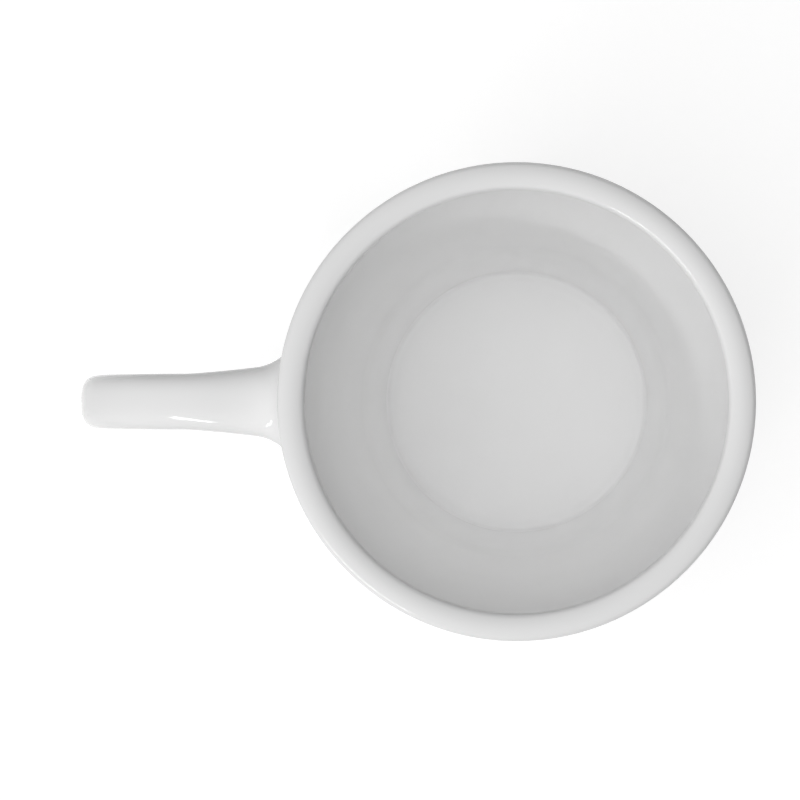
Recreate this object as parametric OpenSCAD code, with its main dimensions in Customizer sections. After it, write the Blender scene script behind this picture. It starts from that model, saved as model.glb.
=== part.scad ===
// Glazed ceramic coffee mug: a leaning-walled cup with one C-shaped handle.
// The cup's axis is Z, its foot ring stands on the plane z = 0, and the handle reaches out along +X.

/* [Cup] */
// Widest outer diameter, at the rim
rim_d = 82; // [76:0.5:90]
// Height from the table to the top of the rim
cup_h = 95; // [88:1:104]
// Lean of the wall away from upright, in degrees
wall_lean = 5; // [3:0.5:6]
// Width of the rim from its inner edge to its outer edge
rim_w = 4.8; // [4:0.1:6]
// Radius of the rim's inner and outer corners
rim_corner_r = 1.35; // [0.8:0.05:1.6]
// Radius of the slightly crowned top of the rim
rim_crown_r = 4.5; // [3.5:0.1:8]

/* [Inside] */
// Thickness of the floor above the hollow in the foot
floor_t = 5; // [4:0.5:7]
// Radius where the floor turns up into the wall
floor_fillet_r = 3.2; // [2:0.1:5]
// Height at which the inner wall starts to draw in towards the floor
belly_h = 29; // [24:1:36]
// Radius of the long curve that draws the wall in
belly_r = 226; // [180:1:400]

/* [Foot] */
// Height of the foot ring below the rounded base
foot_h = 1.2; // [0.8:0.1:2]
// Width of the flat face that the mug stands on
foot_w = 3; // [2:0.1:4.5]
// Depth of the hollow inside the foot ring
foot_hollow = 2; // [1:0.1:3]
// Radius on both edges of the foot ring
foot_edge_r = 0.6; // [0.3:0.05:0.8]
// Radius of the base where the outer wall turns in to the foot
base_r = 8; // [5:0.5:12]
// Turn of the base curve from the wall to the foot, in degrees
base_turn = 70; // [60:1:80]

/* [Handle] */
// Distance from the top of the rim down to the middle of the upper root
handle_drop = 12; // [11:0.5:16]
// Height of the middle of the lower root above the table
handle_lift = 26.7; // [24:0.1:34]
// Length of the straight upper arm, from the wall to the bend
upper_arm = 12; // [9:0.5:16]
// Radius of the lower bend as a share of the upper bend's radius
lower_bend_share = 1.05; // [0.95:0.01:1.1]
// Width of the grip, across the handle
grip_w = 9.9; // [8:0.1:13]
// Thickness of the grip, from its inner face to its outer face
grip_t = 8; // [6:0.1:9.5]
// Squareness of the grip's section: 2 is an ellipse, and higher is squarer
grip_power = 2.8; // [2:0.1:4]

/* [Handle roots] */
// Length over which the handle grows towards each root
root_l = 18; // [12:0.5:22]
// Growth of the half width at the root
root_w_gain = 1.8; // [0:0.1:3]
// Growth of the half thickness at the root
root_t_gain = 0.5; // [0:0.1:1.2]
// Radius of the fillet to the wall on both sides of the handle
side_fillet_r = 8; // [5:0.25:9]
// Radius of the fillet to the wall above and below the handle
end_fillet_r = 4.5; // [2.5:0.25:5]
// Squareness of the section where the handle meets the wall
root_power = 2.1; // [2:0.1:3]
// Thickness of the slip that joins each root to the wall
slip_t = 0.6; // [0.4:0.05:1]

/* [Hidden] */

// Smoothness of the revolved cup
$fn = 180;
// Steps along each arc of the cup's profile
corner_steps = 12;
belly_steps = 10;
// Points round the handle's section
section_steps = 32;
// Rings along each fillet, arm and bend of the handle
fillet_steps = 12;
arm_steps = 3;
bend_steps = 14;
// How far the handle's ends run into the wall before they are cut off
root_sink = 2.8;
// The side fillet ends at this share of its full reach, so its edge isn't a feather
fillet_end_share = 0.92;
// The end fillet stops this far off the wall, for the same reason
fillet_edge = 0.15;
// How quickly the growth towards a root sets in
root_curve = 1.3;

// Rim: the crown meets both corner arcs at the angle crown_half from upright
rim_r = rim_d / 2;
corner_gap = rim_w / 2 - rim_corner_r;
crown_half = asin(corner_gap / (rim_crown_r - rim_corner_r));
corner_z = cup_h - rim_crown_r + (rim_crown_r - rim_corner_r) * cos(crown_half);
crown_z = cup_h - rim_crown_r;
outer_corner_x = rim_r - rim_corner_r;
inner_corner_x = outer_corner_x - 2 * corner_gap;
crown_x = (outer_corner_x + inner_corner_x) / 2;

// Outer wall: a straight line from the rim's outer corner arc, as a radius at any height
outer_top_x = outer_corner_x + rim_corner_r * cos(wall_lean);
outer_top_z = corner_z - rim_corner_r * sin(wall_lean);
function wall_r(z) = outer_top_x - (outer_top_z - z) * tan(wall_lean);

// Inner wall: a straight line from the rim's inner corner arc, as a radius at any height
inner_top_x = inner_corner_x - rim_corner_r * cos(wall_lean);
inner_top_z = corner_z + rim_corner_r * sin(wall_lean);
function inner_r(z) = inner_top_x - (inner_top_z - z) * tan(wall_lean);

// Belly: an arc tangent to the inner wall, and the floor fillet is tangent to that arc
floor_z = foot_hollow + floor_t;
belly_x = inner_r(belly_h) - belly_r * cos(wall_lean);
belly_z = belly_h + belly_r * sin(wall_lean);
fillet_z = floor_z + floor_fillet_r;
fillet_drop = belly_z - fillet_z;
fillet_span = belly_r - floor_fillet_r;
fillet_x = belly_x + sqrt(fillet_span * fillet_span - fillet_drop * fillet_drop);
fillet_turn = asin(fillet_drop / fillet_span);

// Base: an arc tangent to the outer wall that ends on top of the foot ring
base_z = foot_h + base_r * sin(base_turn);
base_x = wall_r(base_z) - base_r / cos(wall_lean);
foot_outer_r = base_x + base_r * cos(base_turn);
foot_inner_r = foot_outer_r - foot_w - 2 * foot_edge_r;

// Handle path: two straight arms square to the wall, and two bends that fill the height between them
handle_h = cup_h - handle_drop;
root_gap = (handle_h - handle_lift) / cos(wall_lean);
upper_bend_r = root_gap / (1 + lower_bend_share + (1 - lower_bend_share) * sin(wall_lean));
lower_bend_r = lower_bend_share * upper_bend_r;
out_dir = [cos(wall_lean), -sin(wall_lean)];
up_dir = [sin(wall_lean), cos(wall_lean)];
upper_root = [wall_r(handle_h), handle_h];
upper_bend = upper_root + upper_arm * out_dir - upper_bend_r * up_dir;
lower_bend = upper_bend + [upper_bend_r - lower_bend_r, 0];
lower_bend_end = lower_bend - lower_bend_r * up_dir;
lower_arm = (lower_bend_end[0] - wall_r(lower_bend_end[1])) * cos(wall_lean);
lower_root = lower_bend_end - lower_arm * out_dir;
upper_bend_l = upper_bend_r * PI * (90 - wall_lean) / 180;
lower_bend_l = lower_bend_r * PI * (90 + wall_lean) / 180;
path_l = upper_arm + upper_bend_l + lower_bend_l + lower_arm;

// Points along an arc in the plane of radius and height
function arc(x, z, r, from, to, steps) =
    [for (i = [0:steps])
        let (turn = from + (to - from) * i / steps)
        [x + r * cos(turn), z + r * sin(turn)]
    ];

// Place and turn of the centre line at the distance s from the upper root: [x, z, turn],
// where the turn is 0 when the handle runs level and outwards, and 180 when it runs back in
function spot(s) =
    s < upper_arm
        ? [upper_root[0] + s * out_dir[0], upper_root[1] + s * out_dir[1], wall_lean]
    : s < upper_arm + upper_bend_l
        ? bend_spot(upper_bend, upper_bend_r, wall_lean + (s - upper_arm) / upper_bend_r * 180 / PI)
    : s < upper_arm + upper_bend_l + lower_bend_l
        ? bend_spot(lower_bend, lower_bend_r, 90 + (s - upper_arm - upper_bend_l) / lower_bend_r * 180 / PI)
    : [
        lower_root[0] + (path_l - s) * out_dir[0],
        lower_root[1] + (path_l - s) * out_dir[1],
        180 + wall_lean
    ];
function bend_spot(centre, r, turn) = [centre[0] + r * sin(turn), centre[1] + r * cos(turn), turn];

// Growth of the section near a root, from 0 at root_l away to 1 at the wall
function growth(d) = d >= root_l ? 0 : pow(1 - max(d, 0) / root_l, root_curve);

// Where the side fillet starts, measured out from a wall of radius r that curves away to both sides
root_half_w = grip_w / 2 + root_w_gain;
function side_reach(r) =
    sqrt(pow(r + side_fillet_r, 2) - pow(root_half_w + side_fillet_r, 2)) - r;

// The side fillet's full turn, up to where it touches that wall
function side_turn(r) = asin(fillet_end_share * (side_reach(r) + r) / (r + side_fillet_r));

// What the fillets add to the half width and to the half thickness at the distance d from a root
function side_flare(d, r) =
    let (depth = min(side_reach(r) - d, side_fillet_r * sin(side_turn(r))))
    depth <= 0 ? 0 : side_fillet_r - sqrt(side_fillet_r * side_fillet_r - depth * depth);
function end_flare(d) =
    let (depth = end_fillet_r - max(d, fillet_edge))
    depth <= 0 ? 0 : end_fillet_r - sqrt(end_fillet_r * end_fillet_r - depth * depth);

function half_w(s) =
    grip_w / 2 + root_w_gain * (growth(s) + growth(path_l - s))
    + side_flare(s, upper_root[0]) + side_flare(path_l - s, lower_root[0]);
function half_t(s) =
    grip_t / 2 + root_t_gain * (growth(s) + growth(path_l - s)) + end_flare(s) + end_flare(path_l - s);

// Distances from a root at which the handle gets a ring, from inside the wall out to the bend
function root_marks(r, arm) = concat(
    [-root_sink],
    [for (i = [0:fillet_steps]) side_reach(r) - side_fillet_r * sin(side_turn(r) * (1 - i / fillet_steps))],
    [for (i = [1:arm_steps]) side_reach(r) + (arm - side_reach(r)) * i / arm_steps]
);
upper_marks = root_marks(upper_root[0], upper_arm);
lower_marks = root_marks(lower_root[0], lower_arm);
handle_marks = concat(
    upper_marks,
    [for (i = [1:bend_steps]) upper_arm + upper_bend_l * i / bend_steps],
    [for (i = [1:bend_steps - 1]) upper_arm + upper_bend_l + lower_bend_l * i / bend_steps],
    [for (i = [len(lower_marks) - 1:-1:0]) path_l - lower_marks[i]]
);

// One ring of the handle: a squared ellipse across the centre line, rounder towards the roots
function squared(v, power) = sign(v) * pow(abs(v), 2 / power);
function ring(s) =
    let (
        at = spot(s),
        w = half_w(s),
        t = half_t(s),
        power = grip_power + (root_power - grip_power) * (growth(s) + growth(path_l - s))
    )
    [for (i = [0:section_steps - 1])
        let (
            side = w * squared(cos(360 * i / section_steps), power),
            out = t * squared(sin(360 * i / section_steps), power)
        )
        [at[0] + out * sin(at[2]), side, at[1] + out * cos(at[2])]
    ];

// Closed skin over rings that stand at the given distances along the handle
module swept(marks) {
    n = section_steps;
    last = len(marks) - 1;
    points = [for (s = marks) each ring(s)];
    sides = [for (k = [0:last - 1], i = [0:n - 1])
        let (a = k * n + i, b = k * n + (i + 1) % n)
        each [[a, b, b + n], [a, b + n, a + n]]
    ];
    near_end = [for (i = [n - 1:-1:0]) i];
    far_end = [for (i = [0:n - 1]) last * n + i];
    polyhedron(points = points, faces = concat([near_end], sides, [far_end]), convexity = 4);
}

// Solid cone that follows the outer wall, grown outwards by a gap
module wall_cone(gap) {
    grow = gap / cos(wall_lean);
    cylinder(h = cup_h, r1 = wall_r(0) + grow, r2 = wall_r(cup_h) + grow);
}

// Cup: one revolved profile from the middle of the floor, over the rim, and back under the foot
module body() {
    color("white")
        rotate_extrude()
            polygon(concat(
                [[0, floor_z]],
                arc(fillet_x, fillet_z, floor_fillet_r, -90, -fillet_turn, corner_steps),
                arc(belly_x, belly_z, belly_r, -fillet_turn, -wall_lean, belly_steps),
                arc(inner_corner_x, corner_z, rim_corner_r, 180 - wall_lean, 90 + crown_half, corner_steps),
                arc(crown_x, crown_z, rim_crown_r, 90 + crown_half, 90 - crown_half, corner_steps),
                arc(outer_corner_x, corner_z, rim_corner_r, 90 - crown_half, -wall_lean, corner_steps),
                arc(base_x, base_z, base_r, -wall_lean, -base_turn, corner_steps),
                arc(foot_outer_r - foot_edge_r, foot_edge_r, foot_edge_r, 0, -90, corner_steps / 2),
                arc(foot_inner_r + foot_edge_r, foot_edge_r, foot_edge_r, -90, -180, corner_steps / 2),
                [[foot_inner_r, foot_hollow], [0, foot_hollow]]
            ));
}

// Handle: cut off at both roots along the curve of the wall, clear of it by the slip
module handle() {
    color("whitesmoke")
        difference() {
            swept(handle_marks);
            wall_cone(slip_t);
        }
}

// Slip: the thin layer of liquid clay between a root and the wall, wiped flush with the fillet
module slip_joint(marks) {
    color("gainsboro")
        intersection() {
            swept(marks);
            difference() {
                wall_cone(slip_t);
                wall_cone(0);
            }
        }
}

module upper_slip_joint() {
    slip_joint(upper_marks);
}

module lower_slip_joint() {
    slip_joint([for (i = [len(lower_marks) - 1:-1:0]) path_l - lower_marks[i]]);
}

body();
handle();
upper_slip_joint();
lower_slip_joint();
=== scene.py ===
import math

import bmesh
import bpy
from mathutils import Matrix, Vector


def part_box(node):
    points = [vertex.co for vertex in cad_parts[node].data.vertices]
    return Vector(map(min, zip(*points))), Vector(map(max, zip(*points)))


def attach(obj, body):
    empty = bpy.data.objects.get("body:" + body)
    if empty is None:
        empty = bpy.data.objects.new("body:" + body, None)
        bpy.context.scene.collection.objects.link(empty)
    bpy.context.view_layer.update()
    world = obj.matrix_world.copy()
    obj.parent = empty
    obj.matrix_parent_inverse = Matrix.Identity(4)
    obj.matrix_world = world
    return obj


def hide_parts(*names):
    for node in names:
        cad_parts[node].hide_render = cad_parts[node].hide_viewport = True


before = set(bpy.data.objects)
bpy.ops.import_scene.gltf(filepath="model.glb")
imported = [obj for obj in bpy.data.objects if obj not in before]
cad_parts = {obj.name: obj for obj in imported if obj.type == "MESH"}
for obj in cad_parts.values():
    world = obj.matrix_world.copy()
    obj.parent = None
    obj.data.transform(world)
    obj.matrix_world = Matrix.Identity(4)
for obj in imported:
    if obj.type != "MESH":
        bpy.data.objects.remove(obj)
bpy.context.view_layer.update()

# Body: the cup, one thrown or cast piece of white clay with a gently leaning wall. Its profile runs from
# the middle of the floor up the inside, over the rim and down to the foot, and is turned round the axis.
# The glossy glaze leaves only the foot ring bare. Round the inside of the floor its colour is made
# whiter: painted light that lifts the shade of that deep corner.
MM = 0.001
CUP_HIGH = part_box("body")[1]
RIM_R = round(CUP_HIGH.y / MM, 1)
CUP_H = round(CUP_HIGH.z / MM, 1)
WALL_LEAN = math.radians(5)
RIM_W = 4.75
RIM_CORNER_R = 1.35
RIM_CROWN_R = 4.5
FLOOR_Z = 7.0
FLOOR_SWEEP_R = 9.0
FLOOR_SWEEP_TURN = math.radians(12)
FLOOR_FILLET_R = 1.0
BELLY_START_H = 30.0
BELLY_R = 150.0
FOOT_H = 1.2
FOOT_W = 3.0
FOOT_HOLLOW = 2.0
FOOT_EDGE_R = 0.6
HOLLOW_CORNER_R = 1.0
BASE_R = 8.0
BASE_TURN = math.radians(70)
ROUND_STEPS = 256
CORNER_STEPS = 16
SMALL_STEPS = 8
BELLY_STEPS = 12
RUN_STEP = 5.0
RUN_END = 0.3
MERGE_GAP = 0.0005
SMOOTH_ANGLE = math.radians(35)
QUARTER = math.pi / 2


def arc(x, z, r, start, end, steps):
    """Points along an arc in the plane of radius and height."""
    turns = [start + (end - start) * i / steps for i in range(steps + 1)]
    return [(x + r * math.cos(turn), z + r * math.sin(turn)) for turn in turns]


def run(start, end):
    """Points along a straight stretch, with a close one at each end to keep its shading even."""
    length = math.dist(start, end)
    count = max(1, round((length - 2 * RUN_END) / RUN_STEP))
    marks = [RUN_END + (length - 2 * RUN_END) * i / count for i in range(count + 1)]
    return [tuple(a + (b - a) * mark / length for a, b in zip(start, end)) for mark in marks]


corner_gap = RIM_W / 2 - RIM_CORNER_R
crown_half = math.asin(corner_gap / (RIM_CROWN_R - RIM_CORNER_R))
corner_z = CUP_H - RIM_CROWN_R + (RIM_CROWN_R - RIM_CORNER_R) * math.cos(crown_half)
outer_corner_x = RIM_R - RIM_CORNER_R
inner_corner_x = outer_corner_x - 2 * corner_gap
crown_x = (outer_corner_x + inner_corner_x) / 2


def wall_r(z):
    """Radius of the outer wall at a height."""
    top_z = corner_z - RIM_CORNER_R * math.sin(WALL_LEAN)
    return outer_corner_x + RIM_CORNER_R * math.cos(WALL_LEAN) - (top_z - z) * math.tan(WALL_LEAN)


def inner_r(z):
    """Radius of the inner wall at a height, above the belly."""
    top_z = corner_z + RIM_CORNER_R * math.sin(WALL_LEAN)
    return inner_corner_x - RIM_CORNER_R * math.cos(WALL_LEAN) - (top_z - z) * math.tan(WALL_LEAN)


belly_x = inner_r(BELLY_START_H) - BELLY_R * math.cos(WALL_LEAN)
belly_z = BELLY_START_H + BELLY_R * math.sin(WALL_LEAN)
fillet_z = FLOOR_Z + FLOOR_SWEEP_R - (FLOOR_SWEEP_R - FLOOR_FILLET_R) * math.cos(FLOOR_SWEEP_TURN)
fillet_drop = belly_z - fillet_z
fillet_x = belly_x + math.sqrt((BELLY_R - FLOOR_FILLET_R) ** 2 - fillet_drop**2)
fillet_turn = math.asin(fillet_drop / (BELLY_R - FLOOR_FILLET_R))
sweep_x = fillet_x - (FLOOR_SWEEP_R - FLOOR_FILLET_R) * math.sin(FLOOR_SWEEP_TURN)
sweep_end = FLOOR_SWEEP_TURN - QUARTER
base_z = FOOT_H + BASE_R * math.sin(BASE_TURN)
base_x = wall_r(base_z) - BASE_R / math.cos(WALL_LEAN)
foot_outer_r = base_x + BASE_R * math.cos(BASE_TURN)
foot_inner_r = foot_outer_r - FOOT_W - 2 * FOOT_EDGE_R

floor_sweep = arc(sweep_x, FLOOR_Z + FLOOR_SWEEP_R, FLOOR_SWEEP_R, -QUARTER, sweep_end, SMALL_STEPS)
floor_fillet = arc(fillet_x, fillet_z, FLOOR_FILLET_R, sweep_end, -fillet_turn, CORNER_STEPS)
belly = arc(belly_x, belly_z, BELLY_R, -fillet_turn, -WALL_LEAN, BELLY_STEPS)
crown_start, crown_end = QUARTER + crown_half, QUARTER - crown_half
corner_start = 2 * QUARTER - WALL_LEAN
inner_corner = arc(inner_corner_x, corner_z, RIM_CORNER_R, corner_start, crown_start, CORNER_STEPS)
crown = arc(crown_x, CUP_H - RIM_CROWN_R, RIM_CROWN_R, crown_start, crown_end, CORNER_STEPS)
outer_corner = arc(outer_corner_x, corner_z, RIM_CORNER_R, crown_end, -WALL_LEAN, CORNER_STEPS)
base = arc(base_x, base_z, BASE_R, -WALL_LEAN, -BASE_TURN, CORNER_STEPS)
foot_out_x, foot_in_x = foot_outer_r - FOOT_EDGE_R, foot_inner_r + FOOT_EDGE_R
foot_out = arc(foot_out_x, FOOT_EDGE_R, FOOT_EDGE_R, 0, -QUARTER, SMALL_STEPS)
foot_in = arc(foot_in_x, FOOT_EDGE_R, FOOT_EDGE_R, -QUARTER, -2 * QUARTER, SMALL_STEPS)
hollow_x, hollow_z = foot_inner_r - HOLLOW_CORNER_R, FOOT_HOLLOW - HOLLOW_CORNER_R
hollow = arc(hollow_x, hollow_z, HOLLOW_CORNER_R, 0, QUARTER, SMALL_STEPS)
cup_profile = [
    (0, FLOOR_Z),
    *run((0, FLOOR_Z), floor_sweep[0]),
    *floor_sweep,
    *floor_fillet[1:],
    *belly[1:],
    *run(belly[-1], inner_corner[0]),
    *inner_corner,
    *crown[1:],
    *outer_corner[1:],
    *run(outer_corner[-1], base[0]),
    *base,
    *foot_out,
    *run(foot_out[-1], foot_in[0]),
    *foot_in,
    *hollow,
    *run(hollow[-1], (0, FOOT_HOLLOW)),
    (0, FOOT_HOLLOW),
]


def turned(name, profile):
    """A line drawn through the profile's points in millimetres, spun round the cup's axis."""
    bpy.ops.object.select_all(action="DESELECT")
    bpy.ops.mesh.primitive_plane_add(size=RIM_R * MM)
    piece = bpy.context.object
    piece.name = piece.data.name = name
    bpy.ops.object.mode_set(mode="EDIT")
    bpy.ops.mesh.merge(type="CENTER")
    at = Vector((0, 0, 0))
    for x, z in profile:
        to = Vector((x, 0, z)) * MM
        if at == Vector((0, 0, 0)):
            bpy.ops.transform.translate(value=to)
        else:
            bpy.ops.mesh.extrude_region_move(TRANSFORM_OT_translate={"value": to - at})
        at = to
    bpy.ops.mesh.select_all(action="SELECT")
    bpy.ops.mesh.spin(steps=ROUND_STEPS, angle=4 * QUARTER, center=(0, 0, 0), axis=(0, 0, 1))
    bpy.ops.mesh.select_all(action="SELECT")
    bpy.ops.mesh.remove_doubles(threshold=MERGE_GAP * MM)
    bpy.ops.mesh.normals_make_consistent(inside=False)
    bpy.ops.object.mode_set(mode="OBJECT")
    bpy.ops.object.shade_smooth_by_angle(angle=SMOOTH_ANGLE)
    return piece


mug_body = turned("mug_body", cup_profile)

# What a material reads is in metres.
NOISE_LOW, NOISE_MIDDLE, NOISE_HIGH = 0.3, 0.5, 0.7
GLAZE_COLOUR = (0.917, 0.917, 0.917, 1)
TONE_SIZE = 0.024
TONE_DETAIL = 2.0
CUP_TONE_SHIFT = 0.010
CUP_WAVE_SIZE = 0.017
CUP_WAVE_HEIGHT = 0.00002
WAVE_DETAIL = 0.0
PEEL_SIZE = 0.0013
PEEL_DETAIL = 1.0
PEEL_HEIGHT = 0.0000012
SHEEN_SIZE = 0.007
SHEEN_DETAIL = 4.0
GLOSSIEST = 0.03
DULLEST = 0.07
# Painted light: a whiter glaze colour for the inner floor corner, lifting the shade that falls there.
PAINTED_CORNER_LIGHT_COLOUR = (0.98, 0.98, 0.98, 1)
CORNER_LIGHT_START_H, CORNER_LIGHT_FULL_H = 0.00003, 0.0004
CORNER_LIGHT_FADE_H, CORNER_LIGHT_END_H = 0.003, 0.017
CORNER_LIGHT_IN_R, CORNER_LIGHT_OUT_R = 0.031, 0.032
GLAZE_LINE_Z = 0.00052
GLAZE_LINE_WOBBLE = 0.0005
GLAZE_LINE_WOBBLE_SIZE = 0.004
GLAZE_LINE_WOBBLE_DETAIL = 2.0
GLAZE_EDGE_W = 0.00012
GLAZE_THICKNESS = 0.00006
CLAY_LIGHT = (0.80, 0.77, 0.71, 1)
CLAY_DARK = (0.66, 0.62, 0.55, 1)
CLAY_GRAIN_SIZE = 0.0005
CLAY_GRAIN_DETAIL = 3.0
CLAY_GRAIN_HEIGHT = 0.00003
CLAY_ROUGHNESS = 0.85
SCUFF_COLOUR = (0.42, 0.41, 0.39, 1)
SCUFF_SIZE = 0.0022
SCUFF_DETAIL = 4.0
SCUFF_START, SCUFF_FULL = 0.56, 0.68


def feed(tree, socket, term):
    """Gives a socket a plain number or colour, or a link from another socket."""
    if isinstance(term, (int, float, tuple)):
        socket.default_value = term
    else:
        tree.links.new(term, socket)


def worked(tree, operation, *terms):
    """A number worked out in a node tree from sockets and plain numbers."""
    node = tree.nodes.new("ShaderNodeMath")
    node.operation = operation
    for socket, term in zip(node.inputs, terms):
        feed(tree, socket, term)
    return node.outputs["Value"]


def spread(tree, value, low, high, to_low=0.0, to_high=1.0):
    """The value between low and high, carried over to another range and held inside it."""
    node = tree.nodes.new("ShaderNodeMapRange")
    names = ("Value", "From Min", "From Max", "To Min", "To Max")
    for name, term in zip(names, (value, low, high, to_low, to_high)):
        feed(tree, node.inputs[name], term)
    return node.outputs["Result"]


def lumps(tree, place, size, detail):
    """Noise from 0 to 1 whose lumps are about the given size in metres."""
    node = tree.nodes.new("ShaderNodeTexNoise")
    scale = 1 / size if isinstance(size, float) else worked(tree, "DIVIDE", 1.0, size)
    for name, term in (("Vector", place), ("Scale", scale), ("Detail", detail)):
        feed(tree, node.inputs[name], term)
    return node.outputs["Fac"]


def blended(tree, share, first, second, kind="RGBA"):
    """Two colours or numbers mixed by a share from 0 to 1."""
    node = tree.nodes.new("ShaderNodeMix")
    node.data_type = kind
    ends = [socket for socket in node.inputs if socket.enabled and socket.name in "AB"]
    for socket, term in zip(ends, (first, second)):
        feed(tree, socket, term)
    feed(tree, node.inputs["Factor"], share)
    return next(socket for socket in node.outputs if socket.enabled)


glaze_skin = bpy.data.node_groups.new("glaze_skin", "ShaderNodeTree")
for name, way, kind in (
    ("Glaze Colour", "INPUT", "Color"),
    ("Tone Shift", "INPUT", "Float"),
    ("Wave Size", "INPUT", "Float"),
    ("Wave Height", "INPUT", "Float"),
    ("Colour", "OUTPUT", "Color"),
    ("Roughness", "OUTPUT", "Float"),
    ("Height", "OUTPUT", "Float"),
):
    glaze_skin.interface.new_socket(name, in_out=way, socket_type="NodeSocket" + kind)
skin_in = glaze_skin.nodes.new("NodeGroupInput").outputs
skin_out = glaze_skin.nodes.new("NodeGroupOutput").inputs
skin_place = glaze_skin.nodes.new("ShaderNodeTexCoord").outputs["Object"]
darkest = worked(glaze_skin, "SUBTRACT", 1.0, skin_in["Tone Shift"])
lightest = worked(glaze_skin, "ADD", 1.0, skin_in["Tone Shift"])
tone_noise = lumps(glaze_skin, skin_place, TONE_SIZE, TONE_DETAIL)
tone = spread(glaze_skin, tone_noise, NOISE_LOW, NOISE_HIGH, darkest, lightest)
toned = glaze_skin.nodes.new("ShaderNodeVectorMath")
toned.operation = "SCALE"
feed(glaze_skin, toned.inputs["Vector"], skin_in["Glaze Colour"])
feed(glaze_skin, toned.inputs["Scale"], tone)
feed(glaze_skin, skin_out["Colour"], toned.outputs["Vector"])
sheen_noise = lumps(glaze_skin, skin_place, SHEEN_SIZE, SHEEN_DETAIL)
sheen = spread(glaze_skin, sheen_noise, NOISE_LOW, NOISE_HIGH, GLOSSIEST, DULLEST)
feed(glaze_skin, skin_out["Roughness"], sheen)
wave_noise = lumps(glaze_skin, skin_place, skin_in["Wave Size"], WAVE_DETAIL)
waves = worked(glaze_skin, "MULTIPLY", wave_noise, skin_in["Wave Height"])
peel_noise = lumps(glaze_skin, skin_place, PEEL_SIZE, PEEL_DETAIL)
peel = worked(glaze_skin, "MULTIPLY", peel_noise, PEEL_HEIGHT)
feed(glaze_skin, skin_out["Height"], worked(glaze_skin, "ADD", waves, peel))


def glazed(name, *values):
    """A material with the glaze's skin in it, not yet joined to its shader, and that skin."""
    look = bpy.data.materials.new(name)
    look.use_nodes = True
    skin = look.node_tree.nodes.new("ShaderNodeGroup")
    skin.node_tree = glaze_skin
    for socket, value in zip(skin.inputs, values):
        socket.default_value = value
    return look, skin


def joined(look, colour, roughness, height):
    """Joins a colour, a roughness and a height in metres to the material's shader."""
    tree = look.node_tree
    shader = tree.nodes["Principled BSDF"]
    bump = tree.nodes.new("ShaderNodeBump")
    bump.inputs["Distance"].default_value = 1.0
    feed(tree, bump.inputs["Height"], height)
    feed(tree, shader.inputs["Normal"], bump.outputs["Normal"])
    feed(tree, shader.inputs["Base Color"], colour)
    feed(tree, shader.inputs["Roughness"], roughness)


cup_look, cup_skin = glazed(
    "glazed cup", GLAZE_COLOUR, CUP_TONE_SHIFT, CUP_WAVE_SIZE, CUP_WAVE_HEIGHT
)
cup_tree = cup_look.node_tree
cup_place = cup_tree.nodes.new("ShaderNodeTexCoord").outputs["Object"]
cup_xyz = cup_tree.nodes.new("ShaderNodeSeparateXYZ")
feed(cup_tree, cup_xyz.inputs["Vector"], cup_place)
cup_x, cup_y, cup_z = cup_xyz.outputs

# Painted light: the glaze colour is made whiter inside the cup, from just above the floor and fading out
# up the wall, to lift the shade of the deep floor corner.
x_squared = worked(cup_tree, "MULTIPLY", cup_x, cup_x)
y_squared = worked(cup_tree, "MULTIPLY", cup_y, cup_y)
from_axis = worked(cup_tree, "SQRT", worked(cup_tree, "ADD", x_squared, y_squared))
inside = spread(cup_tree, from_axis, CORNER_LIGHT_IN_R, CORNER_LIGHT_OUT_R, 1.0, 0.0)
above_floor = worked(cup_tree, "SUBTRACT", cup_z, FLOOR_Z * MM)
corner_light_rise = spread(cup_tree, above_floor, CORNER_LIGHT_START_H, CORNER_LIGHT_FULL_H)
corner_light_fade = spread(cup_tree, above_floor, CORNER_LIGHT_FADE_H, CORNER_LIGHT_END_H, 1.0, 0.0)
painted_corner_light = worked(cup_tree, "MULTIPLY", worked(cup_tree, "MULTIPLY", corner_light_rise, corner_light_fade), inside)
cup_colour_with_painted_light = blended(cup_tree, painted_corner_light, GLAZE_COLOUR, PAINTED_CORNER_LIGHT_COLOUR)
feed(cup_tree, cup_skin.inputs["Glaze Colour"], cup_colour_with_painted_light)

# At the foot ring the glaze ends in an uneven line. The clay below is grained, scuffed and matt.
wobble_noise = lumps(cup_tree, cup_place, GLAZE_LINE_WOBBLE_SIZE, GLAZE_LINE_WOBBLE_DETAIL)
wobble = worked(cup_tree, "SUBTRACT", wobble_noise, NOISE_MIDDLE)
wobbled_z = worked(cup_tree, "MULTIPLY_ADD", wobble, GLAZE_LINE_WOBBLE, cup_z)
line_low, line_high = GLAZE_LINE_Z - GLAZE_EDGE_W, GLAZE_LINE_Z + GLAZE_EDGE_W
bare = spread(cup_tree, wobbled_z, line_low, line_high, 1.0, 0.0)
grain = lumps(cup_tree, cup_place, CLAY_GRAIN_SIZE, CLAY_GRAIN_DETAIL)
scuff_noise = lumps(cup_tree, cup_place, SCUFF_SIZE, SCUFF_DETAIL)
scuffs = spread(cup_tree, scuff_noise, SCUFF_START, SCUFF_FULL)
grained = blended(cup_tree, grain, CLAY_LIGHT, CLAY_DARK)
clay_colour = blended(cup_tree, scuffs, grained, SCUFF_COLOUR)
clay_height = worked(cup_tree, "MULTIPLY_ADD", grain, CLAY_GRAIN_HEIGHT, -GLAZE_THICKNESS)
joined(
    cup_look,
    blended(cup_tree, bare, cup_skin.outputs["Colour"], clay_colour),
    blended(cup_tree, bare, cup_skin.outputs["Roughness"], CLAY_ROUGHNESS, "FLOAT"),
    blended(cup_tree, bare, cup_skin.outputs["Height"], clay_height, "FLOAT"),
)
mug_body.data.materials.append(cup_look)
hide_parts("body")
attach(mug_body, "root")

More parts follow.
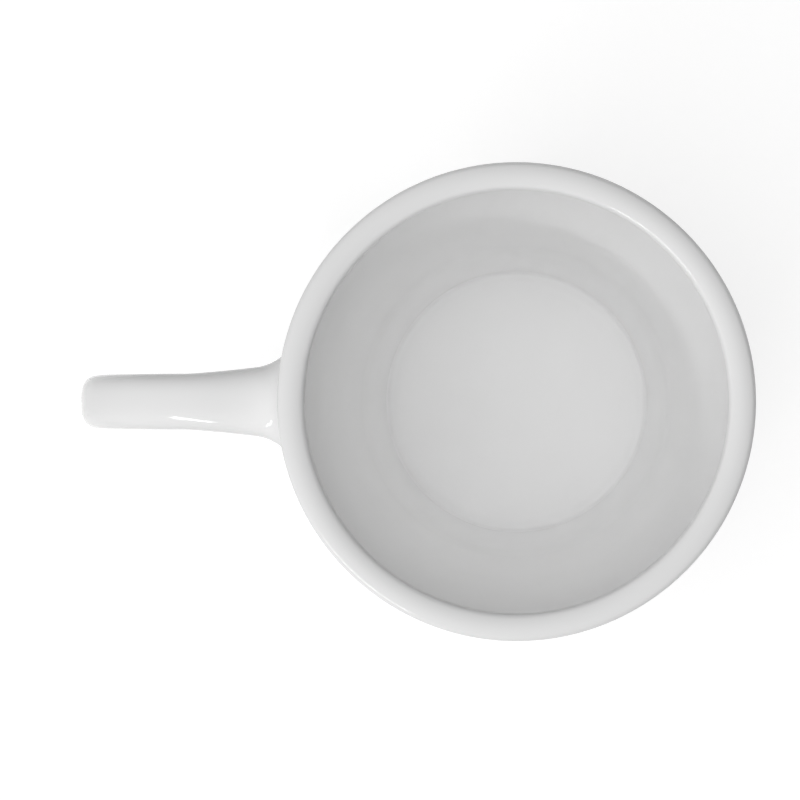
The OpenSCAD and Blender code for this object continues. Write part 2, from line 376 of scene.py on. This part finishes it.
# Handle: a strap of the same clay with a softly squared section, pulled to a C and stuck to the wall.
# It thickens towards its two roots, where a rounded fillet runs out onto the curved and leaning wall.
HANDLE_DROP = 12.0
HANDLE_LIFT = 26.7
UPPER_ARM = 12.0
LOWER_BEND_SHARE = 1.05
GRIP_W = 9.9
GRIP_T = 8.0
GRIP_POWER = 2.8
ROOT_L = 18.0
ROOT_CURVE = 1.3
ROOT_W_GAIN = 1.8
ROOT_T_GAIN = 0.5
ROOT_POWER = 2.1
SIDE_FILLET_R = 8.0
END_FILLET_R = 2.8
SECTION_STEPS = 96
STRAP_FILLET_STEPS = 24
SLIP_FILLET_STEPS = 12
BETWEEN_STEPS = 4
BEND_STEP = 1.2
ROOT_SINK = 0.6
SLIP_SHARE = 1 / 3
SEAM = 0.004
TINY = 0.01

handle_h = CUP_H - HANDLE_DROP
root_gap = (handle_h - HANDLE_LIFT) / math.cos(WALL_LEAN)
upper_bend_r = root_gap / (1 + LOWER_BEND_SHARE + (1 - LOWER_BEND_SHARE) * math.sin(WALL_LEAN))
lower_bend_r = LOWER_BEND_SHARE * upper_bend_r
out_dir = Vector((math.cos(WALL_LEAN), 0, -math.sin(WALL_LEAN)))
up_dir = Vector((math.sin(WALL_LEAN), 0, math.cos(WALL_LEAN)))
side_dir = Vector((0, 1, 0))
upper_root = Vector((wall_r(handle_h), 0, handle_h))
upper_bend = upper_root + UPPER_ARM * out_dir - upper_bend_r * up_dir
lower_bend = upper_bend + Vector((upper_bend_r - lower_bend_r, 0, 0))
lower_end = lower_bend - lower_bend_r * up_dir
lower_arm = (lower_end.x - wall_r(lower_end.z)) * math.cos(WALL_LEAN)
lower_root = lower_end - lower_arm * out_dir
upper_bend_l = upper_bend_r * (QUARTER - WALL_LEAN)
lower_bend_l = lower_bend_r * (QUARTER + WALL_LEAN)
path_l = UPPER_ARM + upper_bend_l + lower_bend_l + lower_arm


def spot(s):
    """The centre line's point at the distance s from the upper root, and which way is outwards."""
    if s < UPPER_ARM:
        return upper_root + s * out_dir, up_dir
    if s > path_l - lower_arm:
        return lower_root + (path_l - s) * out_dir, -up_dir
    if s < UPPER_ARM + upper_bend_l:
        turn = WALL_LEAN + (s - UPPER_ARM) / upper_bend_r
        centre, r = upper_bend, upper_bend_r
    else:
        turn = QUARTER + (s - UPPER_ARM - upper_bend_l) / lower_bend_r
        centre, r = lower_bend, lower_bend_r
    outward = Vector((math.sin(turn), 0, math.cos(turn)))
    return centre + r * outward, outward


def growth(s):
    """How far the section has grown towards the nearer root: 0 on the grip and 1 at the wall."""
    near = max(0, min(s, path_l - s))
    return 0 if near >= ROOT_L else (1 - near / ROOT_L) ** ROOT_CURVE


def squared(v, power):
    """A sine or cosine bent so that the section it draws is squarer than an ellipse."""
    return math.copysign(abs(v) ** (2 / power), v)


def section(s, turn):
    """The squared section's point at the distance s, sideways and outwards from the centre line."""
    grown = growth(s)
    power = GRIP_POWER + (ROOT_POWER - GRIP_POWER) * grown
    side = (GRIP_W / 2 + ROOT_W_GAIN * grown) * squared(math.cos(turn), power)
    out = (GRIP_T / 2 + ROOT_T_GAIN * grown) * squared(math.sin(turn), power)
    return side, out


def strap_point(s, turn):
    """The point of the strap's surface at the distance s and one place round its section."""
    centre, outward = spot(s)
    side, out = section(s, turn)
    return centre + side * side_dir + out * outward


def wall_point(root, side, up):
    """The wall's point beside a root: sideways and up, then back to the cone that curves away."""
    r = root.x + up * math.sin(WALL_LEAN)
    narrowing = math.cos(2 * WALL_LEAN)
    back = math.cos(WALL_LEAN) * (math.sqrt(r * r - narrowing * side * side) - r) / narrowing
    return root + side * side_dir + up * up_dir + back * out_dir


def fillet(root, s_root, s_step, turn, shares):
    """The fillet at one place round a root: points from the strap onto the wall, and its start."""
    side, out = section(s_root, turn)
    reach = math.hypot(side, out)
    across, along = side / reach, s_step * out / reach
    radius = 1 / math.hypot(across / SIDE_FILLET_R, along / END_FILLET_R)
    bend = across * across / root.x
    if bend * root.x > TINY:
        r = 1 / bend
        start = math.sqrt((r + radius) ** 2 - (reach + radius) ** 2) - r
        lean = math.asin((reach + radius) / (r + radius))
        end = r * (reach + radius) / (r + radius)
    else:
        start, lean, end = radius, 0, reach + radius
    first = strap_point(s_root + s_step * start, turn)
    first_dir = (strap_point(s_root + s_step * (start - TINY), turn) - first).normalized()
    last = wall_point(root, end * across, end * along)
    last_dir = (wall_point(root, (end + TINY) * across, (end + TINY) * along) - last).normalized()
    pull = radius * 4 / 3 * math.tan((QUARTER - lean) / 4)
    first_pull, last_pull = first + pull * first_dir, last - pull * last_dir
    points = []
    for u in shares:
        from_strap = first * (1 - u) ** 3 + first_pull * 3 * u * (1 - u) ** 2
        to_wall = last_pull * 3 * u * u * (1 - u) + last * u**3
        points.append(from_strap + to_wall)
    return points, start


turns = [4 * QUARTER * i / SECTION_STEPS for i in range(SECTION_STEPS)]
split = 1 - SLIP_SHARE
strap_shares = [split * i / STRAP_FILLET_STEPS for i in range(STRAP_FILLET_STEPS)]
strap_shares += [split - SEAM, split]
slip_shares = [split, split + SEAM]
slip_shares += [split + SLIP_SHARE * i / SLIP_FILLET_STEPS for i in range(1, SLIP_FILLET_STEPS + 1)]


def root_rings(root, s_root, s_step, shares):
    """Rings of points round a root, one for each share of the way from the strap to the wall."""
    lines = [fillet(root, s_root, s_step, turn, shares)[0] for turn in turns]
    return [list(ring) for ring in zip(*lines)]


def sunk(ring):
    """The ring that closes a root's end, a little inside the wall."""
    return [point - ROOT_SINK * out_dir for point in ring]


def between(root, s_root, s_step):
    """Rings from the fillet's uneven start to the first even ring of the strap."""
    starts = [fillet(root, s_root, s_step, turn, [0])[1] for turn in turns]
    level = max(starts) + BEND_STEP
    rings = []
    for i in range(1, BETWEEN_STEPS):
        ring = []
        for start, turn in zip(starts, turns):
            place = start + (level - start) * i / BETWEEN_STEPS
            ring.append(strap_point(s_root + s_step * place, turn))
        rings.append(ring)
    return rings, level


def skinned(name, rings):
    """A disc extruded through the rings of points, so that the piece is closed at both ends."""
    bpy.ops.object.select_all(action="DESELECT")
    bpy.ops.mesh.primitive_circle_add(vertices=SECTION_STEPS, fill_type="NGON")
    piece = bpy.context.object
    piece.name = piece.data.name = name
    bpy.ops.object.mode_set(mode="EDIT")
    for number, ring in enumerate(rings):
        if number:
            bpy.ops.mesh.extrude_region_move()
        mesh = bmesh.from_edit_mesh(piece.data)
        end = next(face for face in mesh.faces if face.select)
        for vert, point in zip(end.verts, ring):
            vert.co = point * MM
        bmesh.update_edit_mesh(piece.data)
    bpy.ops.mesh.select_all(action="SELECT")
    bpy.ops.mesh.normals_make_consistent(inside=False)
    bpy.ops.object.mode_set(mode="OBJECT")
    bpy.ops.object.shade_smooth_by_angle(angle=SMOOTH_ANGLE)
    return piece


upper_between, upper_level = between(upper_root, 0, 1)
lower_between, lower_level = between(lower_root, path_l, -1)
strap_l = path_l - upper_level - lower_level
strap_count = round(strap_l / BEND_STEP)
strap_places = [upper_level + strap_l * i / strap_count for i in range(strap_count + 1)]
strap_rings = [
    *reversed(root_rings(upper_root, 0, 1, strap_shares)),
    *upper_between,
    *[[strap_point(place, turn) for turn in turns] for place in strap_places],
    *reversed(lower_between),
    *root_rings(lower_root, path_l, -1, strap_shares),
]
mug_handle = skinned("mug_handle", strap_rings)

HANDLE_TONE_SHIFT = 0.012
HANDLE_WAVE_SIZE = 0.011
HANDLE_WAVE_HEIGHT = 0.00003
handle_look, handle_skin = glazed(
    "glazed handle", GLAZE_COLOUR, HANDLE_TONE_SHIFT, HANDLE_WAVE_SIZE, HANDLE_WAVE_HEIGHT
)
joined(handle_look, *handle_skin.outputs)
mug_handle.data.materials.append(handle_look)
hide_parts("handle")
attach(mug_handle, "root")

# Slip joints: liquid clay wiped into a thin flared collar between each root and the wall.
# Fired and glazed with the rest, so the handle seems to grow out of the cup.
for name, root, s_root, s_step in (
    ("upper_slip_joint", upper_root, 0, 1),
    ("lower_slip_joint", lower_root, path_l, -1),
):
    collar = root_rings(root, s_root, s_step, slip_shares)
    slip_joint = skinned("glazed_" + name, [*collar, sunk(collar[-1])])
    slip_joint.data.materials.append(handle_look)
    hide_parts(name)
    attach(slip_joint, "root")

# Floor: a wide sheet of pale grey card under the mug, which isn't part of it.
# It shows white to the camera and in reflections, and it keeps the mug's soft shadow.
FLOOR_SIZE = 4.0
FLOOR_GAP = 0.00005
CARD_COLOUR = (0.55, 0.55, 0.55, 1)
CARD_GLOW = 0.64
bpy.ops.object.select_all(action="DESELECT")
bpy.ops.mesh.primitive_plane_add(size=FLOOR_SIZE, location=(0, 0, -FLOOR_GAP))
card = bpy.context.object
card.name = card.data.name = "floor_card"
card_look = bpy.data.materials.new("pale card")
card_look.use_nodes = True
card_tree = card_look.node_tree
card_tree.nodes.clear()


def seen_rays(tree):
    """1 for rays from the camera, gloss and glass, and 0 for rays that light a surface."""
    kinds = tree.nodes.new("ShaderNodeLightPath").outputs
    seen = worked(tree, "MAXIMUM", kinds["Is Camera Ray"], kinds["Is Glossy Ray"])
    return worked(tree, "MAXIMUM", seen, kinds["Is Transmission Ray"])


card_out = card_tree.nodes.new("ShaderNodeOutputMaterial")
card_sum = card_tree.nodes.new("ShaderNodeAddShader")
card_matt = card_tree.nodes.new("ShaderNodeBsdfDiffuse")
card_glow = card_tree.nodes.new("ShaderNodeEmission")
card_matt.inputs["Color"].default_value = CARD_COLOUR
glow_strength = worked(card_tree, "MULTIPLY", seen_rays(card_tree), CARD_GLOW)
feed(card_tree, card_glow.inputs["Strength"], glow_strength)
feed(card_tree, card_sum.inputs[0], card_matt.outputs["BSDF"])
feed(card_tree, card_sum.inputs[1], card_glow.outputs["Emission"])
feed(card_tree, card_out.inputs["Surface"], card_sum.outputs["Shader"])
card.data.materials.append(card_look)

# Studio light: a soft pool of light overhead and a broad glow low at one side give the shading.
# A wide softbox in the middle of that glow gives the glints on the rim and along the handle.
OVERHEAD_TILT = 8.0
OVERHEAD_TURN = -3.0
OVERHEAD_SPREAD = math.radians(27.9)
OVERHEAD_LEVEL = 2.43
GLOW_TILT = 71.0
GLOW_TURN = 45.0
GLOW_EDGE = 0.22
GLOW_POWER = 0.3
GLOW_LEVEL = 0.41
WHITE_LEVEL = 1.0
KEY_TILT = 61.0
KEY_TURN = 49.0
KEY_AWAY = 1.0
KEY_W = 0.46
KEY_H = 0.13
KEY_LEVEL = 10.4


def towards(tilt, turn):
    """The direction that leans by the tilt from upright, turned round from the handle, in degrees."""
    tilt, turn = math.radians(tilt), math.radians(turn)
    level = math.sin(tilt)
    return Vector((level * math.cos(turn), level * math.sin(turn), math.cos(tilt)))


world = bpy.data.worlds.new("studio")
bpy.context.scene.world = world
world.use_nodes = True
sky_tree = world.node_tree
background = sky_tree.nodes["Background"]
background.inputs["Color"].default_value = (1, 1, 1, 1)
sky_place = sky_tree.nodes.new("ShaderNodeTexCoord").outputs["Generated"]


def nearness(tilt, turn):
    """The cosine of the angle between each direction of the sky and one of them."""
    node = sky_tree.nodes.new("ShaderNodeVectorMath")
    node.operation = "DOT_PRODUCT"
    feed(sky_tree, node.inputs[0], sky_place)
    node.inputs[1].default_value = towards(tilt, turn)
    return node.outputs["Value"]


overhead_near = worked(sky_tree, "MINIMUM", nearness(OVERHEAD_TILT, OVERHEAD_TURN), 1)
overhead_away = worked(sky_tree, "ARCCOSINE", overhead_near)
overhead_steps = worked(sky_tree, "DIVIDE", overhead_away, OVERHEAD_SPREAD)
overhead_fall = worked(sky_tree, "MULTIPLY", worked(sky_tree, "POWER", overhead_steps, 2), -1)
overhead = worked(sky_tree, "MULTIPLY", worked(sky_tree, "EXPONENT", overhead_fall), OVERHEAD_LEVEL)
glow_near = spread(sky_tree, nearness(GLOW_TILT, GLOW_TURN), GLOW_EDGE, 1.0)
glow = worked(sky_tree, "MULTIPLY", worked(sky_tree, "POWER", glow_near, GLOW_POWER), GLOW_LEVEL)
sky_light = worked(sky_tree, "ADD", overhead, glow)
sky_strength = blended(sky_tree, seen_rays(sky_tree), sky_light, WHITE_LEVEL, "FLOAT")
feed(sky_tree, background.inputs["Strength"], sky_strength)

bpy.ops.object.light_add(type="AREA")
key = bpy.context.object
key.name = key.data.name = "softbox"
key.data.shape = "RECTANGLE"
key.data.size = KEY_W
key.data.size_y = KEY_H
key.data.energy = KEY_LEVEL * math.pi * KEY_W * KEY_H
key.location = Vector((0, 0, CUP_H * MM)) + KEY_AWAY * towards(KEY_TILT, KEY_TURN)
key.rotation_euler = towards(KEY_TILT, KEY_TURN).to_track_quat("Z", "Y").to_euler()

# Camera: straight above the cup, turned so that the handle points left. A millimetre at the rim spans
# CAMERA_SCALE pixels, and the cup's axis is AXIS_RIGHT and AXIS_DOWN pixels from the top left corner.
CAMERA_RISE = 0.4
CAMERA_SENSOR = 36.0
CAMERA_SCALE = 5.864
PICTURE = 800
AXIS_RIGHT = 516.6
AXIS_DOWN = 401.6
CLIP_START = 0.01
CLIP_END = 100.0
camera_data = bpy.data.cameras.new("camera")
camera = bpy.data.objects.new("camera", camera_data)
bpy.context.scene.collection.objects.link(camera)
bpy.context.scene.camera = camera
camera.location = (0, 0, CUP_H * MM + CAMERA_RISE)
camera.rotation_euler = (0, 0, 2 * QUARTER)
camera_data.sensor_width = CAMERA_SENSOR
camera_data.lens = CAMERA_SCALE * CAMERA_RISE / MM / PICTURE * CAMERA_SENSOR
camera_data.shift_x = -(AXIS_RIGHT - PICTURE / 2) / PICTURE
camera_data.shift_y = (AXIS_DOWN - PICTURE / 2) / PICTURE
camera_data.clip_start = CLIP_START
camera_data.clip_end = CLIP_END

# Light goes to and fro inside a white cup many times before it dies away.
CUP_BOUNCES = 16
bpy.context.scene.cycles.diffuse_bounces = CUP_BOUNCES
bpy.context.scene.cycles.max_bounces = CUP_BOUNCES

bpy.context.scene.view_settings.view_transform = "Standard"
